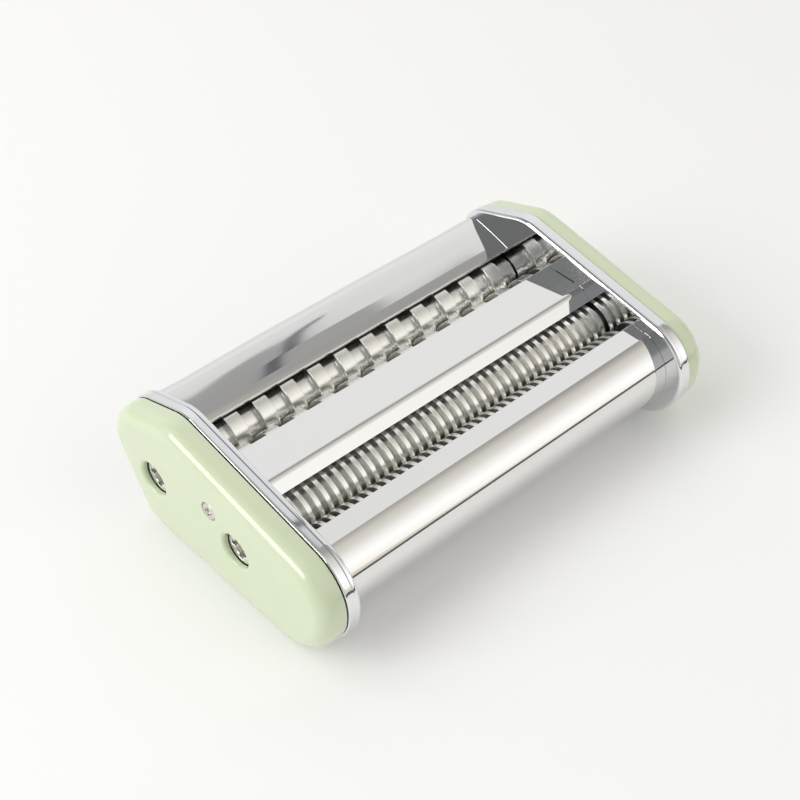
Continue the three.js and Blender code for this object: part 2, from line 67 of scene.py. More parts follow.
# ------------------------------------------------------------------ dimensions
GAP = 0.3                  # clearance between pieces
INNER_HALF = 80            # inner face of a side plate, from the middle
PLATE = 1.2                # side plate thickness
RIM_BEND = 1.4             # outer radius of the rim's bend
RIM_LIP = 0.45             # rounding of the rim's free edge
RIM_CROWN = 0.05           # how much the rim bulges across its width
RIM_STEP = 2.1             # where the rim steps down a little, from the inner face
RIM_STEP_RUN = 0.3         # length of that step
RIM_STEP_ROUND = 0.25
RIM_SINK = 0.12
RIM_BULGE_R = 6
RIM_INNER_BEND = 0.7
RIM_FACET = math.radians(11)
CAP_INSET = 0.7            # the rim stands this far proud of the cap
CAP_EDGE = 6               # soft edge of the cap
CAP_WALL = 2.2
CAP_SIDE_WALL = 3
CAP_FOOT = 0.5             # the cap's open edge is broken over this depth
CAP_INNER_EDGE = 1.5       # and its inner corner over this one
HOLE_RIM = 1.6             # rounding of the rim of a crank hole
SEAT_RIM = 0.35            # and of the screw's seat
CRANK_HOLE_R = 6.6
END_OUTLINE = [            # machine's end seen along X: y, z and rounding of each corner
    (41.9, 0, 11), (67.4, 43.1, 17), (25.5, 57.6, 18.5), (-60.5, 41.8, 19.5), (-58.5, 0, 25),
]
FLOOR_R = 8.4              # bottom of a roller's groove
SHAFT_R = 3.5
SHAFT_EDGE = 0.3
FLAT_DEPTH = 0.8           # flat that keys a gear to its shaft
DISC_PLAY = 0.2            # side play of a disc in its groove
WIDE_EDGE = 0.26           # rounding of a disc's edge, in each lane
NARROW_EDGE = 0.09
GROOVE_CORNER = 0.15       # rounding at the bottom of a groove
ROLLER_CORNER = 0.2        # and at the foot of the roller's own ends
NARROW_SIDES = 72
ROLLER_END = 79.4
WIDE_PITCH = 13
WIDE_START = -78.15
WIDE_DISCS = 12
NARROW_PITCH = 4.2
NARROW_START = -78.75
NARROW_DISCS = {"rear": 38, "front": 37}
TEETH = 14
PAIR_DISTANCE = 21.4
PRESSURE_ANGLE = math.radians(20)
BACKLASH = 0.45
ADDENDUM = 0.8             # height of a tooth over the pitch circle, in modules
DEDENDUM = 1.1             # depth under it
TOOTH_FOOT = 0.02          # how much wider a tooth is at its root, in radians each way
FLANK_STEPS = 4
BUSH_R = 5
BUSH_PLAY = 0.1
FLANGE_R = 6.6
FLANGE = 1.1
RING_R = 5.4               # retaining ring: outside, its lobes' grip and the gaps between them
RING_GRIP_R = 3.1
RING_RELIEF_R = 3.9
RING_GROOVE_R = 2.8
RING_MOUTH = math.radians(22)     # half the angle of its opening, outside and inside
RING_INNER_MOUTH = math.radians(42)
RING_LOBE_WIDTH = 1.6
RING_OUTER_STEPS = 40
RING_INNER_STEPS = 48
COMB_HALF = 4              # comb: half the bar's width, its height and its lower edge
COMB_HEIGHT = 2
COMB_EDGE = 0.3
COMB_HEEL = 3.8            # where the back of a finger stands on the bar
FINGER_PLAY = 0.5          # under the groove's bottom
FINGER_SIDE_PLAY = 0.1     # beside the discs, on top of a disc's own play
FINGER_ARC = 48            # degrees that a finger follows the roller
FINGER_STEPS = 8
SHEET = 0.8                # cover thickness
END_EDGE = 0.12            # broken edge at the ends of a cover
COVER_PLAY = 0.05
COVER_HALF = INNER_HALF - COVER_PLAY
COVER_STATIONS = 60
COVER_FACET = math.radians(1.5)
COVER_STEP = 2.5           # longest straight piece of a cover's section
CALM_END = 12              # the sheet evens out over this distance from its ends
REAR_UNEVENNESS = 0.35
RIPPLES = (                # height, mm per radian along X and along the section, phase
    (0.55, 21, 9, 0), (0.45, 34, -13, 1.7), (0.2, 9.5, 6, 0),
)
ROD_HALF = INNER_HALF - GAP
TAB_REACH = 0.9
TAB_HALF = INNER_HALF + TAB_REACH
TAB_EDGE = 0.3             # length of a tab's narrowed tip
TAB_SHRINK = 0.02
TABS = {                   # stretches of a cover's section that carry a tab into the side plates
    "rear_cover": [((51, 43.07), (43, 41.17)), ((45, 15.1), (50, 23.55))],
    "middle_cover": [((6, 42.5), (-3, 42.5))],
    "front_cover": [((-34.5, 39.95), (-39.5, 39.55)), ((-33, 5), (-31, 5))],
}
COVER_LINES = {            # outer face of each cover's section: y, z and rounding of each bend
    "rear_cover": [
        (33, 2.6, 0), (37.6, 2.6, 1.6), (63.3, 45.8, 6), (48.2, 43.03, 40), (43.6, 41.94, 160),
        (39, 40.72, 160), (35.2, 39.6, 30), (32.6, 38.5, 0.5), (33, 37.5, 0),
    ],
    "middle_cover": [(11.3, 40.9, 0), (10.9, 42.5, 0.8), (-7.8, 42.4, 4), (-12, 38.2, 0)],
    "front_cover": [
        (-33.2, 38.5, 0), (-32.8, 40.1, 0.8), (-41.5, 39.36, 0.5), (-52.8, 35.6, 16.4), (-52.8, 5, 18.4),
        (-30, 5, 0),
    ],
}
ROD_R = 2.5
ROD_TIP_R = 1.9
ROD_TIP_EDGE = 0.4
ROD_EDGE = 0.3
END_CENTRE_R = 0.5         # small flat left in the middle of a turned end
DRILL_TIP_R = 0.3
DRILL_RUN_OUT = 1.3        # the bore goes this far past the screw's tip
NUT_R = 4
NUT_EDGE = 0.3             # depth and width of a nut's turned-down corners
NUT_TRIM = 0.1
NUT_MOUTH = 0.4            # depth of the bore's widened mouth
NUT_MOUTH_R = 0.5
NUT_PLAY = 0.1
NUT_PARTS = 6              # points along each side of the hexagon
SCREW_SEAT_DEPTH = 0.9
SCREW_HEAD_R = 3.3
SCREW_SHANK_R = 1.6
SCREW_CROWN_R = 2.2
SCREW_TAPER = 1.2
SCREW_SIDE = 0.42          # height of the head's straight side
SCREW_RECESS = ((1.9, 0.55, 0), (1.7, 0.46, 0.6), (0.8, 0.32, 1.5))    # reach, half width, depth
CROSS_WAIST = 1.35         # the cross is this much wider where its arms meet
SOCKET_BORE_R = 3.4
SOCKET_SLOT_HALF = 1.1
SOCKET_SLOT_REACH = 4.9
SOCKET_SLOT_DEPTH = 3
SOCKET_EDGE = 0.15
SOCKET_PLAY = 0.2          # round the shaft
SOCKET_SEAT = 3            # length that sits on the shaft
SOCKET_STEP = 0.02
TIE_RODS = ["rear_top", "rear_bottom", "front_bottom"]

OUTLINE_STEP = math.radians(3)    # facet of a large round
EDGE_STEP = math.radians(22)      # facet of a small round
ROUND_SIDES = 96
SMALL_SIDES = 48
HOLE_SIDES = 64
CLOUD_LOW = 0.3                   # a cloudy pattern mostly stays between these two
CLOUD_HIGH = 0.7


# ------------------------------------------------------------------ places taken from the frame
def box_mm(node):
    low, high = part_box(node)
    return low / MM, high / MM


def axis_of(node):
    low, high = box_mm(node)
    return ((low.y + high.y) / 2, (low.z + high.z) / 2)


def reach_of(node):
    """A node's smallest and largest distance from the middle of the machine, along X."""
    low, high = box_mm(node)
    return min(abs(low.x), abs(high.x)), max(abs(low.x), abs(high.x))


def radius_of(node):
    low, high = box_mm(node)
    return max(high.y - low.y, high.z - low.z) / 2


# ------------------------------------------------------------------ outlines, in (y, z)
def around(centre, radius, angle):
    return centre[0] + radius * math.cos(angle), centre[1] + radius * math.sin(angle)


def rounded(corners, step=OUTLINE_STEP, closed=True):
    """Points of an outline of (u, v, rounding) corners."""
    points = []
    count = len(corners)
    for i, (u, v, radius) in enumerate(corners):
        here = Vector((u, v))
        if radius == 0 or (not closed and i in (0, count - 1)):
            points.append((u, v))
            continue
        to_last = Vector(corners[i - 1][:2]) - here
        to_next = Vector(corners[(i + 1) % count][:2]) - here
        half = to_last.angle(to_next) / 2
        to_last.normalize()
        to_next.normalize()
        middle = (to_last + to_next).normalized()
        centre = here + middle * (radius / math.sin(half))
        start = here + to_last * (radius / math.tan(half)) - centre
        end = here + to_next * (radius / math.tan(half)) - centre
        first = math.atan2(start.y, start.x)
        turn = math.remainder(math.atan2(end.y, end.x) - first, math.tau)
        steps = max(1, round(abs(turn) / step))
        for k in range(steps + 1):
            points.append(around(centre, radius, first + turn * k / steps))
    return points


def inset(corners, distance):
    """The same corners moved inwards, with their rounding reduced to match."""
    sides = []
    for i, (y, z, _) in enumerate(corners):
        along = (Vector(corners[(i + 1) % len(corners)][:2]) - Vector((y, z))).normalized()
        sides.append((Vector((y, z)) + Vector((-along.y, along.x)) * distance, along))
    moved = []
    for i, corner in enumerate(corners):
        before, before_along = sides[i - 1]
        after, after_along = sides[i]
        cross = before_along.cross(after_along)
        place = before + before_along * ((after - before).cross(after_along) / cross)
        moved.append((place.x, place.y, max(corner[2] - distance, 0.5)))
    return moved


def end_ring(distance):
    """The machine's end outline, moved inwards; every distance gives the same number of points."""
    return rounded(inset(END_OUTLINE, distance))


def circle(centre, radius, sides):
    return [around(centre, radius, math.tau * i / sides) for i in range(sides)]


def rectangle(y0, z0, y1, z1, radius):
    return rounded([(y0, z0, radius), (y1, z0, radius), (y1, z1, radius), (y0, z1, radius)], EDGE_STEP)


def offset(points, distance):
    """A closed outline moved to its left by a distance, or to its right where that is negative."""
    moved = []
    for i, point in enumerate(points):
        here = Vector(point)
        before = (here - Vector(points[i - 1])).normalized()
        after = (Vector(points[(i + 1) % len(points)]) - here).normalized()
        left = Vector((-before.y - after.y, before.x + after.x)).normalized()
        stretch = max(left.dot(Vector((-before.y, before.x))), 0.4)
        moved.append(tuple(here + left * (distance / stretch)))
    return moved


def sheet_section(line, thickness):
    """Inner line of a bent sheet, one thickness to the left of its outer line."""
    inner = []
    for i, point in enumerate(line):
        here = Vector(point)
        before = (here - Vector(line[max(i - 1, 0)])).normalized()
        after = (Vector(line[min(i + 1, len(line) - 1)]) - here).normalized()
        along = (before + after).normalized()
        straight = before if before.length else after
        stretch = max(along.dot(straight), 0.4)
        inner.append(tuple(here + Vector((-along.y, along.x)) * (thickness / stretch)))
    return inner


# ------------------------------------------------------------------ shells
class Shell:
    """A closed mesh made of rings of points. Each ring lies across X, at a distance x."""

    def __init__(self, side=1):
        self.mesh = bmesh.new()
        self.side = side

    def ring(self, points, x):
        return [self.mesh.verts.new((self.side * x * MM, y * MM, z * MM)) for y, z in points]

    def wall(self, near, far):
        for i in range(len(near)):
            self.mesh.faces.new((near[i - 1], near[i], far[i], far[i - 1]))

    def walls(self, rings):
        for near, far in zip(rings, rings[1:]):
            self.wall(near, far)

    def lid(self, edge, *holes):
        """A flat face inside the first ring, with the other rings as holes in it."""
        edges = []
        for ring in (edge, *holes):
            for i in range(len(ring)):
                pair = (ring[i - 1], ring[i])
                edges.append(self.mesh.edges.get(pair) or self.mesh.edges.new(pair))
        bmesh.ops.triangle_fill(self.mesh, use_beauty=True, edges=edges)

    def turned(self, corners, centre, sides, tube=False):
        """Corners of (radius, x, rounding) turned about a line along X."""
        profile = rounded(corners, EDGE_STEP, closed=tube)
        rings = [self.ring(circle(centre, radius, sides), x) for radius, x in profile]
        self.walls(rings)
        if tube:
            self.wall(rings[-1], rings[0])
        else:
            self.mesh.faces.new(rings[0])
            self.mesh.faces.new(rings[-1])

    def plate(self, x0, x1, edge, holes, chamfer):
        """A flat piece across X whose corners are broken by a small chamfer."""
        ends = []
        for x, inwards in ((x0, 1), (x1, -1)):
            outer = self.ring(offset(edge, chamfer), x), self.ring(edge, x + inwards * chamfer)
            inner = [
                (self.ring(offset(hole, -chamfer), x), self.ring(hole, x + inwards * chamfer))
                for hole in holes
            ]
            self.wall(*outer)
            for pair in inner:
                self.wall(*pair)
            self.lid(outer[0], *[pair[0] for pair in inner])
            ends.append([outer[1], *[pair[1] for pair in inner]])
        for near, far in zip(*ends):
            self.wall(near, far)


# ------------------------------------------------------------------ finishes
class Finish:
    """One procedural material. Patterns are drawn in the part's own space, in cells per metre."""

    def __init__(self, name, colour, roughness, metallic=0.0):
        self.material = bpy.data.materials.new(name)
        self.material.use_nodes = True
        self.tree = self.material.node_tree
        self.shader = self.tree.nodes["Principled BSDF"]
        self.place = self.tree.nodes.new("ShaderNodeTexCoord").outputs["Object"]
        self.normal = None
        self.put("Base Color", (*colour, 1))
        self.put("Roughness", roughness)
        self.put("Metallic", metallic)

    def put(self, socket, value):
        self.shader.inputs[socket].default_value = value

    def link(self, source, socket):
        self.tree.links.new(source, self.shader.inputs[socket])

    def cells(self, scale, detail, roughness=0.5):
        """Cloudy pattern from 0 to 1; scale is a number, or one per axis for streaks."""
        scales = scale if isinstance(scale, tuple) else (scale, scale, scale)
        mapping = self.tree.nodes.new("ShaderNodeMapping")
        mapping.inputs["Scale"].default_value = scales
        self.tree.links.new(self.place, mapping.inputs["Vector"])
        cloud = self.tree.nodes.new("ShaderNodeTexNoise")
        cloud.inputs["Scale"].default_value = 1.0
        cloud.inputs["Detail"].default_value = detail
        cloud.inputs["Roughness"].default_value = roughness
        self.tree.links.new(mapping.outputs["Vector"], cloud.inputs["Vector"])
        return cloud.outputs["Fac"]

    def spread(self, source, low, high):
        """The pattern stretched to run from one value to another."""
        span = self.tree.nodes.new("ShaderNodeMapRange")
        span.inputs["From Min"].default_value = CLOUD_LOW
        span.inputs["From Max"].default_value = CLOUD_HIGH
        span.inputs["To Min"].default_value = low
        span.inputs["To Max"].default_value = high
        self.tree.links.new(source, span.inputs["Value"])
        return span.outputs["Result"]

    def tint(self, source, low, high):
        """Base colour that runs between two colours with the pattern."""
        mix = self.tree.nodes.new("ShaderNodeMix")
        mix.data_type = "RGBA"
        mix.inputs["A"].default_value = (*low, 1)
        mix.inputs["B"].default_value = (*high, 1)
        self.tree.links.new(self.spread(source, 0, 1), mix.inputs["Factor"])
        self.link(mix.outputs["Result"], "Base Color")

    def relief(self, source, height_mm):
        """Raises the surface with the pattern; several reliefs add up."""
        bump = self.tree.nodes.new("ShaderNodeBump")
        bump.inputs["Strength"].default_value = 1.0
        bump.inputs["Distance"].default_value = height_mm * MM
        self.tree.links.new(source, bump.inputs["Height"])
        if self.normal:
            self.tree.links.new(self.normal, bump.inputs["Normal"])
        self.normal = bump.outputs["Normal"]
        self.link(self.normal, "Normal")


def enamel_green():
    """Glossy sprayed enamel: an even tone, a thick clear coat and a very faint orange peel."""
    finish = Finish("enamel_green", (0.60, 0.675, 0.465), 0.35)
    finish.put("Coat Weight", 0.9)
    finish.put("Coat Roughness", 0.05)
    finish.put("Coat IOR", 1.5)
    finish.tint(finish.cells(45, 3), (0.592, 0.667, 0.457), (0.608, 0.683, 0.473))
    finish.link(finish.spread(finish.cells(160, 3), 0.30, 0.40), "Roughness")
    finish.relief(finish.cells(260, 1), 0.0012)
    finish.relief(finish.cells(2600, 2), 0.0002)
    return finish.material


def chrome_plate():
    """Bright plating over pressed steel, with faint wipe marks and hairline scratches."""
    finish = Finish("chrome_plate", (0.80, 0.81, 0.82), 0.05, 1.0)
    finish.link(finish.spread(finish.cells(70, 4), 0.035, 0.085), "Roughness")
    finish.relief(finish.cells(130, 2), 0.004)
    finish.relief(finish.cells((9000, 900, 900), 3), 0.0004)
    return finish.material


def polished_sheet():
    """Stainless sheet polished along its length: long hairlines, slow waves and light smudges."""
    finish = Finish("polished_sheet", (0.79, 0.785, 0.775), 0.08, 1.0)
    hairlines = finish.cells((60, 5200, 5200), 4, 0.6)
    smudges = finish.cells((25, 70, 70), 3)
    finish.link(finish.spread(smudges, 0.035, 0.065), "Roughness")
    finish.relief(hairlines, 0.0007)
    finish.relief(finish.cells((14, 55, 55), 1), 0.009)
    return finish.material


def cutter_metal():
    """Turned rollers: fine rings left by the tool under a bright, even sheen."""
    finish = Finish("cutter_metal", (0.91, 0.90, 0.86), 0.24, 1.0)
    rings = finish.cells((5200, 30, 30), 3, 0.7)
    finish.link(finish.spread(rings, 0.26, 0.31), "Roughness")
    finish.tint(finish.cells((900, 60, 60), 3), (0.895, 0.885, 0.845), (0.925, 0.915, 0.875))
    finish.relief(rings, 0.0008)
    return finish.material


def plain_steel():
    """Zinc plated steel with a mottled, slightly dull face."""
    finish = Finish("plain_steel", (0.74, 0.76, 0.75), 0.3, 1.0)
    spangle = finish.cells(380, 4)
    finish.tint(spangle, (0.70, 0.72, 0.71), (0.78, 0.80, 0.79))
    finish.link(finish.spread(spangle, 0.26, 0.36), "Roughness")
    finish.relief(finish.cells(1500, 3), 0.0012)
    return finish.material


def bearing_bronze():
    """Sintered bronze: open pores and a brownish tone."""
    finish = Finish("bearing_bronze", (0.62, 0.46, 0.24), 0.42, 1.0)
    pores = finish.cells(3200, 4, 0.7)
    finish.tint(pores, (0.42, 0.30, 0.15), (0.68, 0.51, 0.28))
    finish.link(finish.spread(pores, 0.55, 0.35), "Roughness")
    finish.relief(pores, 0.02)
    return finish.material


def comb_plastic():
    """Moulded white plastic with a fine matt grain."""
    finish = Finish("comb_plastic", (0.80, 0.80, 0.78), 0.45)
    finish.tint(finish.cells(90, 3), (0.77, 0.77, 0.745), (0.82, 0.82, 0.80))
    finish.relief(finish.cells(4200, 3), 0.003)
    return finish.material


def screw_steel():
    """Nickel plated screw, warm in tone, with small tool marks in its cross."""
    finish = Finish("screw_steel", (0.74, 0.70, 0.67), 0.22, 1.0)
    marks = finish.cells(2400, 3)
    finish.tint(marks, (0.66, 0.61, 0.58), (0.78, 0.74, 0.71))
    finish.link(finish.spread(marks, 0.16, 0.30), "Roughness")
    finish.relief(marks, 0.004)
    return finish.material


FINISHES = {
    make.__name__: make()
    for make in (
        enamel_green, chrome_plate, polished_sheet, cutter_metal,
        plain_steel, bearing_bronze, comb_plastic, screw_steel,
    )
}

# ------------------------------------------------------------------ pieces
BODY_OF = {n: body for body, nodes in frame["record"]["behaviour"]["bodies"].items() for n in nodes}
SLOT_OF = {part["node"]: part["material_slot"] for part in frame["record"]["subparts"]}


def finish_piece(shell, node, crease=32):
    """Turns a shell into the visible piece that stands for a CAD node."""
    bmesh.ops.remove_doubles(shell.mesh, verts=shell.mesh.verts, dist=1e-6)
    bmesh.ops.dissolve_degenerate(shell.mesh, dist=1e-7, edges=shell.mesh.edges)
    bmesh.ops.recalc_face_normals(shell.mesh, faces=shell.mesh.faces)
    for face in shell.mesh.faces:
        face.smooth = True
    data = bpy.data.meshes.new(f"{node}_detail")
    shell.mesh.to_mesh(data)
    shell.mesh.free()
    data.set_sharp_from_angle(angle=math.radians(crease))
    data.materials.append(FINISHES[SLOT_OF[node]])
    piece = bpy.data.objects.new(f"{node}_detail", data)
    bpy.context.scene.collection.objects.link(piece)
    weighted = piece.modifiers.new("flat_faces_stay_flat", "WEIGHTED_NORMAL")
    weighted.keep_sharp = True
    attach(piece, BODY_OF[node])
    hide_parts(node)


LANES = [
    {"name": f"{lane}_{place}", "wide": lane == "wide", "place": place, "driven": place == "rear"}
    for lane in ("wide", "narrow")
    for place in ("rear", "front")
]


# ---- sheet metal ends
def tab_outline(stretch, play):
    """Outline of a tab as thick as the sheet, grown all round by the play."""
    start, end = Vector(stretch[0]), Vector(stretch[1])
    along = (end - start).normalized()
    left = Vector((-along.y, along.x))
    corners = [
        start - along * play - left * play,
        end + along * play - left * play,
        end + along * play + left * (SHEET + play),
        start - along * play + left * (SHEET + play),
    ]
    return [tuple(corner) for corner in corners]


def comb_bar(lane):
    """Low and high corner of a comb's bar under its roller: y, z, y, z."""
    bottom = box_mm(f"{lane['name']}_comb")[0].z
    middle = axis_of(f"{lane['name']}_cutter")[0]
    return middle - COMB_HALF, bottom, middle + COMB_HALF, bottom + COMB_HEIGHT


def plate_holes():
    """Outlines of the round holes that both plates of an end share."""
    holes = [circle(axis_of(f"right_{lane['name']}_bush"), BUSH_R + GAP, SMALL_SIDES) for lane in LANES]
    rods = [f"{name}_tie_rod" for name in (*TIE_RODS, "centre")]
    holes += [circle(axis_of(rod), ROD_TIP_R + GAP, 32) for rod in rods]
    return holes


def side_plate(node, side):
    """A pressed dish: a flat web with a rolled bend and a rim that stands outwards."""
    shell = Shell(side)
    outer_x = reach_of(node)[1]
    web_x = INNER_HALF + PLATE
    bend, lip = RIM_BEND, RIM_LIP
    section = rounded([
        (bend + 0.2, INNER_HALF, 0),
        (0, INNER_HALF, bend),
        (-RIM_CROWN, INNER_HALF + RIM_STEP, RIM_STEP_ROUND),
        (RIM_SINK, INNER_HALF + RIM_STEP + RIM_STEP_RUN, RIM_STEP_ROUND),
        (RIM_SINK - RIM_CROWN, outer_x - 1, RIM_BULGE_R),
        (RIM_SINK, outer_x, lip),
        (PLATE, outer_x, lip),
        (PLATE, web_x, RIM_INNER_BEND),
        (PLATE + 1, web_x, 0),
    ], RIM_FACET, closed=False)
    rings = [shell.ring(end_ring(distance + RIM_CROWN), x) for distance, x in section]
    shell.walls(rings)
    slots = [tab_outline(stretch, GAP) for stretches in TABS.values() for stretch in stretches]
    for lane in LANES:
        y0, z0, y1, z1 = comb_bar(lane)
        slots.append(rectangle(y0 - GAP, z0 - GAP, y1 + GAP, z1 + GAP, 0.4))
    holes = [(shell.ring(hole, INNER_HALF), shell.ring(hole, web_x)) for hole in plate_holes() + slots]
    for near, far in holes:
        shell.wall(near, far)
    shell.lid(rings[0], *[near for near, far in holes])
    shell.lid(rings[-1], *[far for near, far in holes])
    finish_piece(shell, node)


def bearing_plate(node, side):
    """A flat plate behind the side plate, which holds the bushes."""
    shell = Shell(side)
    near, far = reach_of(node)
    shell.plate(near, far, end_ring(PLATE + 4 * GAP), plate_holes(), 0.2)
    finish_piece(shell, node)


# ---- enamelled end caps
def rim_rings(shell, centre, radius, rounding, x, depth):
    """Rings of a hole whose mouth is rounded, from the face inwards."""
    steps = 7
    rings = []
    for k in range(steps + 1):
        angle = math.pi / 2 * k / steps
        grown = radius + rounding * (1 - math.sin(angle))
        inwards = rounding * (1 - math.cos(angle))
        rings.append(shell.ring(circle(centre, grown, HOLE_SIDES), x - inwards))
    rings.append(shell.ring(circle(centre, radius, HOLE_SIDES), x - depth))
    shell.walls(rings)
    return rings


def end_cap(node, side, crank_sockets):
    """A hollow cap with a large soft edge, a sunk screw seat and, at one end, two crank holes."""
    shell = Shell(side)
    near, far = reach_of(node)
    inner_face = far - CAP_WALL
    soft_steps = 14
    outside = [
        shell.ring(end_ring(CAP_INSET + CAP_FOOT), near),
        shell.ring(end_ring(CAP_INSET + 0.1), near + 0.12),
        shell.ring(end_ring(CAP_INSET), near + CAP_FOOT),
    ]
    for k in range(soft_steps + 1):
        angle = math.pi / 2 * k / soft_steps
        distance = CAP_INSET + CAP_EDGE * (1 - math.cos(angle))
        outside.append(shell.ring(end_ring(distance), far - CAP_EDGE * (1 - math.sin(angle))))
    shell.walls(outside)
    inside = [
        shell.ring(end_ring(CAP_INSET + CAP_SIDE_WALL), near),
        shell.ring(end_ring(CAP_INSET + CAP_SIDE_WALL), inner_face - CAP_INNER_EDGE),
        shell.ring(end_ring(CAP_INSET + CAP_SIDE_WALL + 0.5), inner_face - 0.45),
        shell.ring(end_ring(CAP_INSET + CAP_SIDE_WALL + CAP_INNER_EDGE), inner_face),
    ]
    shell.walls(inside)
    shell.wall(outside[0], inside[0])
    face_holes, back_holes = [], []
    for socket in crank_sockets:
        rings = rim_rings(shell, axis_of(socket), CRANK_HOLE_R, HOLE_RIM, far, CAP_WALL)
        face_holes.append(rings[0])
        back_holes.append(rings[-1])
    centre = axis_of("centre_tie_rod")
    seat = rim_rings(shell, centre, SCREW_HEAD_R + GAP, SEAT_RIM, far, SCREW_SEAT_DEPTH)
    through = circle(centre, SCREW_SHANK_R + GAP, HOLE_SIDES)
    bore = [shell.ring(through, x) for x in (far - SCREW_SEAT_DEPTH, inner_face)]
    shell.lid(seat[-1], bore[0])
    shell.walls(bore)
    shell.lid(outside[-1], *face_holes, seat[0])
    shell.lid(inside[-1], *back_holes, bore[1])
    finish_piece(shell, node)


# ---- covers
def ripple(distance, x):
    """Slow unevenness of a thin sheet, about -1 to 1, at a place along its section and along X."""
    return sum(height * math.sin(x / across + distance / along + phase)
               for height, across, along, phase in RIPPLES)


def cover(node, unevenness=0.0):
    """A bent sheet swept along X, with its unevenness in millimetres, which fades out at its edges."""
    shell = Shell()
    line = rounded(COVER_LINES[node], COVER_FACET, closed=False)
    dense = [line[0]]
    for a, b in zip(line, line[1:]):
        length = (Vector(b) - Vector(a)).length
        parts = max(1, math.ceil(length / COVER_STEP))
        dense += [tuple(Vector(a).lerp(Vector(b), k / parts)) for k in range(1, parts + 1)]
    inner = sheet_section(dense, SHEET)
    outline = dense + inner[::-1]
    lengths = [0.0]
    for a, b in zip(dense, dense[1:]):
        lengths.append(lengths[-1] + (Vector(b) - Vector(a)).length)
    rings = []
    ends = [COVER_HALF - END_EDGE, COVER_HALF]
    stations = [-ends[0] + 2 * ends[0] * k / COVER_STATIONS for k in range(COVER_STATIONS + 1)]
    for x in (-ends[1], *stations, ends[1]):
        calm = min(1.0, (COVER_HALF - abs(x)) / CALM_END)
        shifted = []
        for i, point in enumerate(dense):
            left = (Vector(inner[i]) - Vector(point)).normalized()
            fade = math.sin(math.pi * lengths[i] / lengths[-1])
            shifted.append(left * (unevenness * calm * fade * ripple(lengths[i], x)))
        moved = [tuple(Vector(p) + d) for p, d in zip(outline, shifted + shifted[::-1])]
        rings.append(shell.ring(offset(moved, END_EDGE) if abs(x) == ends[1] else moved, x))
    shell.walls(rings)
    shell.lid(rings[0])
    shell.lid(rings[-1])
    for stretch in TABS[node]:
        for side in (-1, 1):
            tab = tab_outline(stretch, -TAB_SHRINK)
            ends = [shell.ring(tab, side * x) for x in (COVER_HALF, TAB_HALF - TAB_EDGE)]
            ends.append(shell.ring(offset(tab, 0.2), side * TAB_HALF))
            shell.walls(ends)
            shell.lid(ends[0])
            shell.lid(ends[-1])
    finish_piece(shell, node, 28)


# ---- rollers and what they carry
def lane_layout(lane):
    """Start, pitch and number of a roller's discs; the front roller is half a pitch further on."""
    shift = 0 if lane["driven"] else 0.5
    if lane["wide"]:
        return WIDE_START + shift * WIDE_PITCH, WIDE_PITCH, WIDE_DISCS
    return NARROW_START + shift * NARROW_PITCH, NARROW_PITCH, NARROW_DISCS[lane["place"]]


def ring_groove(node):
    """Corners of the groove that a retaining ring sits in."""
    low, high = box_mm(node)
    start, end = low.x - GAP, high.x + GAP
    return [(SHAFT_R, start, 0), (RING_GROOVE_R, start, 0), (RING_GROOVE_R, end, 0), (SHAFT_R, end, 0)]


def cutter(lane):
    """A grooved roller turned from one bar, with its shaft, its ring grooves and its gear flat."""
    node = f"{lane['name']}_cutter"
    shell = Shell()
    low, high = box_mm(node)
    centre = axis_of(node)
    radius = radius_of(node)
    start, pitch, count = lane_layout(lane)
    edge = WIDE_EDGE if lane["wide"] else NARROW_EDGE
    corners = [(END_CENTRE_R, low.x, 0), (SHAFT_R, low.x, SHAFT_EDGE)]
    if not lane["driven"]:
        corners += ring_groove(f"{lane['name']}_shaft_ring")
    corners += [(SHAFT_R, -ROLLER_END, 0), (FLOOR_R, -ROLLER_END, ROLLER_CORNER)]
    for i in range(count):
        left = start + i * pitch + DISC_PLAY / 2
        right = start + (i + 0.5) * pitch - DISC_PLAY / 2
        corners += [(FLOOR_R, left, GROOVE_CORNER), (radius, left, edge)]
        corners += [(radius, right, edge), (FLOOR_R, right, GROOVE_CORNER)]
    corners += [(FLOOR_R, ROLLER_END, ROLLER_CORNER), (SHAFT_R, ROLLER_END, 0)]
    corners += ring_groove(f"{lane['name']}_gear_ring")
    corners += [(SHAFT_R, high.x, SHAFT_EDGE), (END_CENTRE_R, high.x, 0)]
    shell.turned(corners, centre, ROUND_SIDES if lane["wide"] else NARROW_SIDES)
    flat_z = (centre[1] + SHAFT_R - FLAT_DEPTH) * MM
    flat_start = (box_mm(f"{lane['name']}_gear")[0].x - GAP) * MM
    for vert in shell.mesh.verts:
        if vert.co.x > flat_start:
            vert.co.z = min(vert.co.z, flat_z)
    finish_piece(shell, node)


def tooth_half_angle(radius):
    """Half the angle that a tooth spans at a radius on its involute flank."""
    pitch_radius = PAIR_DISTANCE / 2
    base = pitch_radius * math.cos(PRESSURE_ANGLE)
    at_radius = math.acos(min(1, base / radius))
    thickness = math.pi * PAIR_DISTANCE / TEETH / 2 - BACKLASH
    roll = math.tan(PRESSURE_ANGLE) - PRESSURE_ANGLE - math.tan(at_radius) + at_radius
    return thickness / (2 * pitch_radius) + roll


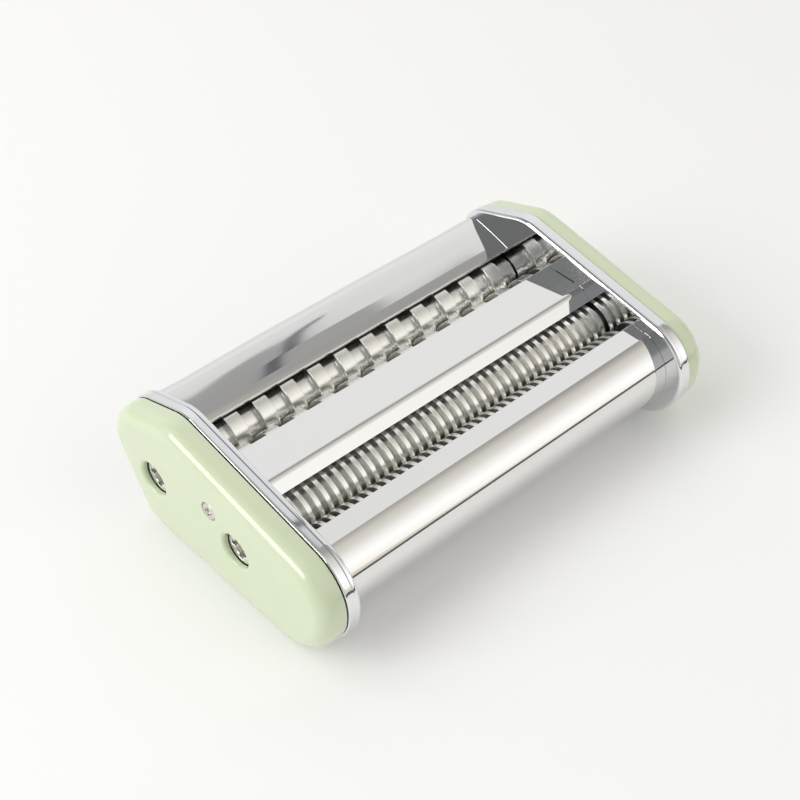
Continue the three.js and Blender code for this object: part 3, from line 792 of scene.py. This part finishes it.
def gear(lane):
    """A spur gear with involute teeth and a flat in its bore."""
    node = f"{lane['name']}_gear"
    shell = Shell()
    low, high = box_mm(node)
    centre = axis_of(f"{lane['name']}_cutter")
    module = PAIR_DISTANCE / TEETH
    base = PAIR_DISTANCE / 2 * math.cos(PRESSURE_ANGLE)
    tip = PAIR_DISTANCE / 2 + ADDENDUM * module
    root = PAIR_DISTANCE / 2 - DEDENDUM * module
    first_tooth = math.pi if lane["driven"] else math.pi / TEETH
    flank = [base + (tip - base) * k / FLANK_STEPS for k in range(FLANK_STEPS + 1)]
    edge = []
    for i in range(TEETH):
        middle = first_tooth + math.tau * i / TEETH
        half = [(root, tooth_half_angle(base) + TOOTH_FOOT)] + [(r, tooth_half_angle(r)) for r in flank]
        tooth = [(r, middle - a) for r, a in half] + [(r, middle + a) for r, a in half[::-1]]
        edge += [around(centre, radius, angle) for radius, angle in tooth]
    flat_z = centre[1] + SHAFT_R - FLAT_DEPTH + GAP
    bore = [(y, min(z, flat_z)) for y, z in circle(centre, SHAFT_R + GAP, SMALL_SIDES)]
    shell.plate(low.x, high.x, edge, [bore], 0.2)
    finish_piece(shell, node)


def bush(node, side):
    """A plain bearing with a flange on the outside."""
    shell = Shell(side)
    near, far = reach_of(node)
    flange_in = far - FLANGE
    bore = SHAFT_R + BUSH_PLAY
    shell.turned([
        (bore, near, 0.3), (BUSH_R, near, 0.3), (BUSH_R, flange_in, 0), (FLANGE_R, flange_in, 0.2),
        (FLANGE_R, far, 0.35), (bore, far, 0.3),
    ], axis_of(node), HOLE_SIDES, tube=True)
    finish_piece(shell, node)


def retaining_ring(node, shaft):
    """A spring clip with three lobes that grip the groove, open at the bottom."""
    shell = Shell()
    low, high = box_mm(node)
    centre = axis_of(shaft)
    edge = []
    turn = math.tau - 2 * RING_MOUTH
    for k in range(RING_OUTER_STEPS + 1):
        edge.append(around(centre, RING_R, -math.pi / 2 + RING_MOUTH + turn * k / RING_OUTER_STEPS))
    turn = math.tau - 2 * RING_INNER_MOUTH
    for k in range(RING_INNER_STEPS + 1):
        share = 1 - k / RING_INNER_STEPS
        lobes = 0.5 + 0.5 * math.cos(math.tau * 2 * share)
        radius = RING_RELIEF_R + (RING_GRIP_R - RING_RELIEF_R) * min(1, lobes * RING_LOBE_WIDTH)
        edge.append(around(centre, radius, -math.pi / 2 + RING_INNER_MOUTH + turn * share))
    shell.plate(low.x, high.x, edge, (), 0.1)
    finish_piece(shell, node)


def cross_with_bore(centre, bore, half_width, reach):
    """A round bore with four slots running out from it."""
    points = []
    meet = math.asin(half_width / bore)
    for quarter in range(4):
        middle = quarter * math.pi / 2
        direction = Vector((math.cos(middle), math.sin(middle)))
        aside = Vector((-direction.y, direction.x))
        for k in range(9):
            angle = middle - math.pi / 2 + meet + (math.pi / 2 - 2 * meet) * k / 8
            points.append(around(centre, bore, angle))
        for sign in (-1, 1):
            points.append(tuple(Vector(centre) + direction * reach + aside * (half_width * sign)))
    return points


def crank_socket(lane):
    """The driven end of a roller: a collar with a bore and a cross of slots for the crank's dogs."""
    node = f"{lane['name']}_crank_socket"
    shell = Shell(-1)
    near, far = reach_of(node)
    radius = radius_of(node)
    centre = axis_of(node)
    shaft_bore = SHAFT_R + SOCKET_PLAY
    corners = [(shaft_bore, near, 0), (radius, near, 0.4), (radius, far, 0.2), (SOCKET_BORE_R, far, 0)]
    profile = rounded(corners, EDGE_STEP, closed=False)
    rings = [shell.ring(circle(centre, r, HOLE_SIDES), x) for r, x in profile[:-1]]
    shell.walls(rings)
    slot_floor = far - SOCKET_SLOT_DEPTH
    cross = cross_with_bore(centre, SOCKET_BORE_R, SOCKET_SLOT_HALF, SOCKET_SLOT_REACH)
    mouth = shell.ring(offset(cross, -SOCKET_EDGE), far)
    upper = shell.ring(cross, far - SOCKET_EDGE)
    lower = shell.ring(cross, slot_floor)
    shell.walls([mouth, upper, lower])
    shell.lid(rings[-1], mouth)
    bore_circle = circle(centre, SOCKET_BORE_R - SOCKET_STEP, HOLE_SIDES)
    bore = [
        shell.ring(bore_circle, slot_floor),
        shell.ring(bore_circle, near + SOCKET_SEAT),
        shell.ring(circle(centre, shaft_bore, HOLE_SIDES), near + SOCKET_SEAT),
        rings[0],
    ]
    shell.lid(lower, bore[0])
    shell.walls(bore)
    finish_piece(shell, node)


# ---- stripping combs
def comb(lane):
    """A bar under a roller with a curved finger in every groove, moulded in one."""
    node = f"{lane['name']}_comb"
    shell = Shell()
    centre = axis_of(f"{lane['name']}_cutter")
    side = 1 if lane["driven"] else -1
    _, z0, _, z1 = comb_bar(lane)
    reach = FLOOR_R + FINGER_PLAY

    def across(distance):
        """A place along Y, this far from the roller's axis and away from the other roller."""
        return centre[0] + side * distance

    tip = []
    for k in range(FINGER_STEPS + 1):
        angle = math.radians(270 - FINGER_ARC * k / FINGER_STEPS)
        tip.append((across(reach * math.cos(angle)), centre[1] + reach * math.sin(angle)))
    heel = (across(-COMB_HEEL), z1)
    finger = [(centre[0], z1), *tip, heel]
    parts = len(finger) - 1
    foot = [(centre[0] + (heel[0] - centre[0]) * k / parts, z1) for k in range(parts + 1)]
    base = [
        (across(-COMB_HALF), z1), (across(-COMB_HALF), z0 + COMB_EDGE), (across(COMB_EDGE - COMB_HALF), z0),
        (across(COMB_HALF - COMB_EDGE), z0), (across(COMB_HALF), z0 + COMB_EDGE), (across(COMB_HALF), z1),
    ]
    plain = foot + base
    full = finger + base
    start, pitch, count = lane_layout(lane)
    play = DISC_PLAY + FINGER_SIDE_PLAY
    sections = [(plain, -TAB_HALF)]
    for i in range(count):
        left = start + (i + 0.5) * pitch + play
        right = start + (i + 1) * pitch - play
        if right < ROLLER_END:
            sections += [(plain, left), (full, left), (full, right), (plain, right)]
    sections.append((plain, TAB_HALF))
    rings = [shell.ring(points, x) for points, x in sections]
    shell.walls(rings)
    shell.lid(rings[0])
    shell.lid(rings[-1])
    finish_piece(shell, node)


# ---- rods and fasteners
def turned_rod(node, half):
    """A rod whose two halves are alike, from the corners of one of them."""
    shell = Shell()
    corners = half + [(r, -x, rounding) for r, x, rounding in half[::-1]]
    shell.turned(corners, axis_of(node), SMALL_SIDES)
    finish_piece(shell, node)


def tie_rod(node):
    """A rod with a thinner tip at each end, which goes through the plates and carries a nut."""
    tip = reach_of(node)[1]
    turned_rod(node, [
        (END_CENTRE_R, tip, 0), (ROD_TIP_R, tip, ROD_TIP_EDGE),
        (ROD_TIP_R, ROD_HALF, 0), (ROD_R, ROD_HALF, ROD_EDGE),
    ])


def centre_rod(node):
    """The middle rod is drilled at both ends for the long cap screws."""
    bottom = reach_of("right_cap_screw")[0] - DRILL_RUN_OUT
    turned_rod(node, [
        (DRILL_TIP_R, bottom, 0), (ROD_TIP_R, bottom, 0),
        (ROD_TIP_R, ROD_HALF, 0.2), (ROD_R, ROD_HALF, ROD_EDGE),
    ])


def nut(node, side):
    """A hexagon nut whose corners are turned down on both faces."""
    shell = Shell(side)
    near, far = reach_of(node)
    centre = axis_of(node)
    full = circle(centre, NUT_R, 6)
    hexagon = [
        tuple(Vector(a).lerp(Vector(b), k / NUT_PARTS))
        for a, b in zip(full, full[1:] + full[:1])
        for k in range(NUT_PARTS)
    ]

    def turned_down(radius):
        points = []
        for point in hexagon:
            arm = Vector(point) - Vector(centre)
            points.append(tuple(Vector(centre) + arm * min(1, radius / arm.length)))
        return points

    flats = NUT_R * math.cos(math.pi / 6)
    outside = [
        shell.ring(turned_down(radius - NUT_TRIM), x)
        for radius, x in ((flats, near), (NUT_R, near + NUT_EDGE), (NUT_R, far - NUT_EDGE), (flats, far))
    ]
    mouth, inside = ROD_TIP_R + NUT_MOUTH_R, ROD_TIP_R + NUT_PLAY
    bore = [
        shell.ring(circle(centre, radius, 36), x)
        for radius, x in ((mouth, near), (inside, near + NUT_MOUTH), (inside, far - NUT_MOUTH), (mouth, far))
    ]
    shell.walls(outside)
    shell.walls(bore)
    shell.lid(outside[0], bore[0])
    shell.lid(outside[-1], bore[-1])
    finish_piece(shell, node)


def cross_outline(centre, reach, half_width):
    """A plain cross, a little wider where its arms meet."""
    points = []
    waist = half_width * CROSS_WAIST
    for quarter in range(4):
        angle = quarter * math.pi / 2
        direction = Vector((math.cos(angle), math.sin(angle)))
        aside = Vector((-direction.y, direction.x))
        for along, across in ((waist, -waist), (reach, -half_width), (reach, half_width)):
            points.append(tuple(Vector(centre) + direction * along + aside * across))
    return points


def cap_screw(node, side):
    """A long pan head screw with a cross recess."""
    shell = Shell(side)
    tip, top = reach_of(node)
    seat = top - SCREW_SEAT_DEPTH + GAP
    centre = axis_of(node)
    corners = [
        (DRILL_TIP_R, tip, 0), (SCREW_SHANK_R, tip + SCREW_TAPER, 0), (SCREW_SHANK_R, seat, 0),
        (SCREW_HEAD_R, seat, 0.12), (SCREW_HEAD_R, seat + SCREW_SIDE, 0.25), (SCREW_CROWN_R, top, 1.2),
        (END_CENTRE_R, top, 0),
    ]
    profile = rounded(corners, EDGE_STEP, closed=False)[:-1]
    rings = [shell.ring(circle(centre, radius, SMALL_SIDES), x) for radius, x in profile]
    shell.walls(rings)
    shell.mesh.faces.new(rings[0])
    recess = [
        shell.ring(cross_outline(centre, reach, half), top - depth)
        for reach, half, depth in SCREW_RECESS
    ]
    shell.walls(recess)
    shell.lid(rings[-1], recess[0])
    shell.lid(recess[-1])
    finish_piece(shell, node)


# ------------------------------------------------------------------ the whole machine
for side, end in ((1, "right"), (-1, "left")):
    side_plate(f"{end}_side_plate", side)
    bearing_plate(f"{end}_bearing_plate", side)
    sockets = [f"{lane['name']}_crank_socket" for lane in LANES if lane["driven"] and side < 0]
    end_cap(f"{end}_end_cap", side, sockets)
    cap_screw(f"{end}_cap_screw", side)
    for name in TIE_RODS:
        nut(f"{end}_{name}_nut", side)
    for lane in LANES:
        bush(f"{end}_{lane['name']}_bush", side)

cover("rear_cover", REAR_UNEVENNESS)
cover("middle_cover")
cover("front_cover")

for lane in LANES:
    cutter(lane)
    gear(lane)
    comb(lane)
    retaining_ring(f"{lane['name']}_gear_ring", f"{lane['name']}_cutter")
    if lane["driven"]:
        crank_socket(lane)
    else:
        retaining_ring(f"{lane['name']}_shaft_ring", f"{lane['name']}_cutter")

for name in TIE_RODS:
    tie_rod(f"{name}_tie_rod")
centre_rod("centre_tie_rod")


# ------------------------------------------------------------------ studio
BRIGHTEST = 2.0            # the light level that full white stands for
LEAN = math.radians(45)
CRANK_SIDE_END = -0.25     # along the rollers, the crank side changes to the lit side between these
LIT_SIDE_START = 0.15


def studio_room():
    """The room round the machine. On the lit side its tone changes with the angle about the rollers'
    direction; the crank side has a dim wall over a low pale one."""
    world = bpy.data.worlds.new("studio")
    bpy.context.scene.world = world
    world.use_nodes = True
    nodes, links = world.node_tree.nodes, world.node_tree.links
    direction = nodes.new("ShaderNodeSeparateXYZ")
    links.new(nodes.new("ShaderNodeTexCoord").outputs["Generated"], direction.inputs[0])

    def share(source, low, high, smooth=False):
        span = nodes.new("ShaderNodeMapRange")
        span.interpolation_type = "SMOOTHSTEP" if smooth else "LINEAR"
        span.inputs["From Min"].default_value = low
        span.inputs["From Max"].default_value = high
        links.new(source, span.inputs["Value"])
        return span.outputs["Result"]

    def tones(source, stops):
        """Light levels along the source, from (position, level, warmth) stops between 0 and 1."""
        ramp = nodes.new("ShaderNodeValToRGB")
        elements = ramp.color_ramp.elements
        elements[0].position = stops[0][0]
        elements[1].position = stops[-1][0]
        for position, _, _ in stops[1:-1]:
            elements.new(position)
        for element, (_, level, warmth) in zip(elements, stops):
            part = level / BRIGHTEST
            element.color = (part * (1 + warmth), part, part * (1 - 2 * warmth), 1)
        links.new(source, ramp.inputs["Fac"])
        return ramp.outputs["Color"]

    def mixed(factor, one, other):
        mix = nodes.new("ShaderNodeMix")
        mix.data_type = "RGBA"
        links.new(factor, mix.inputs["Factor"])
        links.new(one, mix.inputs["A"])
        links.new(other, mix.inputs["B"])
        return mix.outputs["Result"]

    turn = nodes.new("ShaderNodeMath")
    turn.operation = "ARCTAN2"
    links.new(direction.outputs["Y"], turn.inputs[0])
    links.new(direction.outputs["Z"], turn.inputs[1])
    # The edge of the bright wall leans: it comes nearer to straight up towards the gear end
    lean = nodes.new("ShaderNodeMath")
    lean.operation = "MULTIPLY_ADD"
    links.new(direction.outputs["X"], lean.inputs[0])
    lean.inputs[1].default_value = LEAN
    links.new(turn.outputs[0], lean.inputs[2])
    # Degrees from straight up; negative to the front, positive to the rear
    bands = [
        (-90, 0.80, 0.10), (-86, 1.15, 0.02), (-66, 1.30, 0.005), (-50, 1.12, 0.012), (-34, 0.86, 0.03),
        (-18, 0.70, 0.04), (-7, 0.50, 0.035), (0, 0.40, 0.01), (12.2, 0.42, 0), (12.7, 0.84, 0),
        (30, 0.95, 0), (45, 0.97, 0), (90, 0.85, 0),
    ]
    lit_side = tones(
        share(lean.outputs[0], LEAN / 2 - math.pi / 2, LEAN / 2 + math.pi / 2),
        [(0.5 + degrees / 180, level, warmth) for degrees, level, warmth in bands],
    )
    crank_side = tones(
        share(direction.outputs["Z"], 0, 1),
        [(0, 0.60, -0.015), (0.34, 0.54, -0.015), (0.48, 0.30, -0.01), (1, 0.16, 0)],
    )
    lit = share(direction.outputs["X"], CRANK_SIDE_END, LIT_SIDE_START, True)
    room = mixed(lit, crank_side, lit_side)
    background = nodes["Background"]
    links.new(room, background.inputs["Color"])
    background.inputs["Strength"].default_value = BRIGHTEST


def softbox(name, towards, distance, width, height, power):
    """A rectangular light that faces the machine from a direction."""
    light = bpy.data.lights.new(name, "AREA")
    light.shape = "RECTANGLE"
    light.size = width
    light.size_y = height
    light.energy = power
    holder = bpy.data.objects.new(name, light)
    bpy.context.scene.collection.objects.link(holder)
    direction = Vector(towards).normalized()
    holder.location = Vector((0, 0, 0.03)) + direction * distance
    holder.rotation_mode = "QUATERNION"
    holder.rotation_quaternion = direction.to_track_quat("Z", "Y")
    return holder


def mirrored_card(name, mesh, colour):
    """A dark thing round the set, which is seen only as it is mirrored."""
    data = bpy.data.meshes.new(name)
    mesh.to_mesh(data)
    mesh.free()
    made = bpy.data.objects.new(name, data)
    bpy.context.scene.collection.objects.link(made)
    finish = Finish(name, colour, 0.8)
    finish.tint(finish.cells(40, 2), [0.9 * c for c in colour], [1.1 * c for c in colour])
    data.materials.append(finish.material)
    made.visible_camera = False
    made.visible_diffuse = False
    made.visible_shadow = False


STRIP_HALF = 900           # the strip lies this far to each side, and between these two places in front
STRIP_FAR = -900
STRIP_NEAR = -280
STRIP_HEIGHT = 0.4


def dark_strip():
    """A dark cloth on the floor in front."""
    mesh = bmesh.new()
    corners = [
        (-STRIP_HALF, STRIP_FAR), (STRIP_HALF, STRIP_FAR),
        (STRIP_HALF, STRIP_NEAR), (-STRIP_HALF, STRIP_NEAR),
    ]
    mesh.faces.new([mesh.verts.new((x * MM, y * MM, STRIP_HEIGHT * MM)) for x, y in corners])
    mirrored_card("dark_strip", mesh, (0.05, 0.045, 0.04))


CABLE_HEIGHT = 600         # the cable over the set swings from one side of its middle to the other
CABLE_MIDDLE = (265, 165)
CABLE_SWING = 38
CABLE_BEND = 30
CABLE_RUN = (150, 312)
CABLE_HALF = 3             # half its width at the ends, and how much more it has in its middle
CABLE_SWELL = 4
CABLE_STEPS = 90


def hanging_cable():
    """A dark cable hanging over the set in one slow S, thickest in its middle."""
    mesh = bmesh.new()
    last = None
    for k in range(CABLE_STEPS + 1):
        x = CABLE_RUN[0] + (CABLE_RUN[1] - CABLE_RUN[0]) * k / CABLE_STEPS
        along = (x - CABLE_MIDDLE[0]) / CABLE_BEND
        y = CABLE_MIDDLE[1] + CABLE_SWING * math.tanh(along)
        half = CABLE_HALF + CABLE_SWELL * math.exp(-along * along)
        pair = [mesh.verts.new((x * MM, (y + way * half) * MM, CABLE_HEIGHT * MM)) for way in (-1, 1)]
        if last:
            mesh.faces.new((last[0], pair[0], pair[1], last[1]))
        last = pair
    mirrored_card("hanging_cable", mesh, (0.10, 0.11, 0.14))


FLOOR_GLOW = 0.115
FLOOR_SIZE = 4             # metres


def floor():
    """A plain pale surface that runs out of sight, lit a little from below like a light table."""
    mesh = bmesh.new()
    bmesh.ops.create_grid(mesh, x_segments=2, y_segments=2, size=FLOOR_SIZE)
    data = bpy.data.meshes.new("floor")
    mesh.to_mesh(data)
    mesh.free()
    made = bpy.data.objects.new("floor", data)
    bpy.context.scene.collection.objects.link(made)
    finish = Finish("pale_floor", (0.80, 0.80, 0.79), 0.9)
    finish.put("Specular IOR Level", 0.1)
    finish.put("Emission Color", (1, 1, 0.985, 1))
    finish.put("Emission Strength", FLOOR_GLOW)
    finish.tint(finish.cells(3, 2), (0.797, 0.795, 0.785), (0.803, 0.801, 0.791))
    data.materials.append(finish.material)


studio_room()
softbox("window", (-0.80, 0.20, 0.50), 2.6, 1.7, 1.12, 30)
key = softbox("ceiling", (-0.45, 0.45, 0.77), 3.2, 2.4, 2.4, 38)
key.visible_glossy = False
floor()
dark_strip()
hanging_cable()

# ------------------------------------------------------------------ camera
AZIMUTH = math.radians(-42.47)
ELEVATION = math.radians(42.66)
DISTANCE = 0.5746
AIM_RIGHT = -6.74 * MM      # the camera aims a little beside the middle of the machine
AIM_UP = -0.59 * MM
LENS = 69.6
FILM_WIDTH = 36


def camera():
    data = bpy.data.cameras.new("camera")
    data.lens = LENS
    data.sensor_width = FILM_WIDTH
    data.clip_start = 0.01
    data.clip_end = 50
    made = bpy.data.objects.new("camera", data)
    bpy.context.scene.collection.objects.link(made)
    level = math.cos(ELEVATION)
    back = Vector((math.sin(AZIMUTH) * level, -math.cos(AZIMUTH) * level, math.sin(ELEVATION)))
    right = Vector((math.cos(AZIMUTH), math.sin(AZIMUTH), 0))
    up = back.cross(right)
    middle = (CAD_BOX[0] + CAD_BOX[1]) / 2
    made.location = middle + right * AIM_RIGHT + up * AIM_UP + back * DISTANCE
    made.rotation_mode = "QUATERNION"
    made.rotation_quaternion = (-back).to_track_quat("-Z", "Y")
    bpy.context.scene.camera = made


camera()
bpy.context.scene.view_settings.view_transform = "Standard"
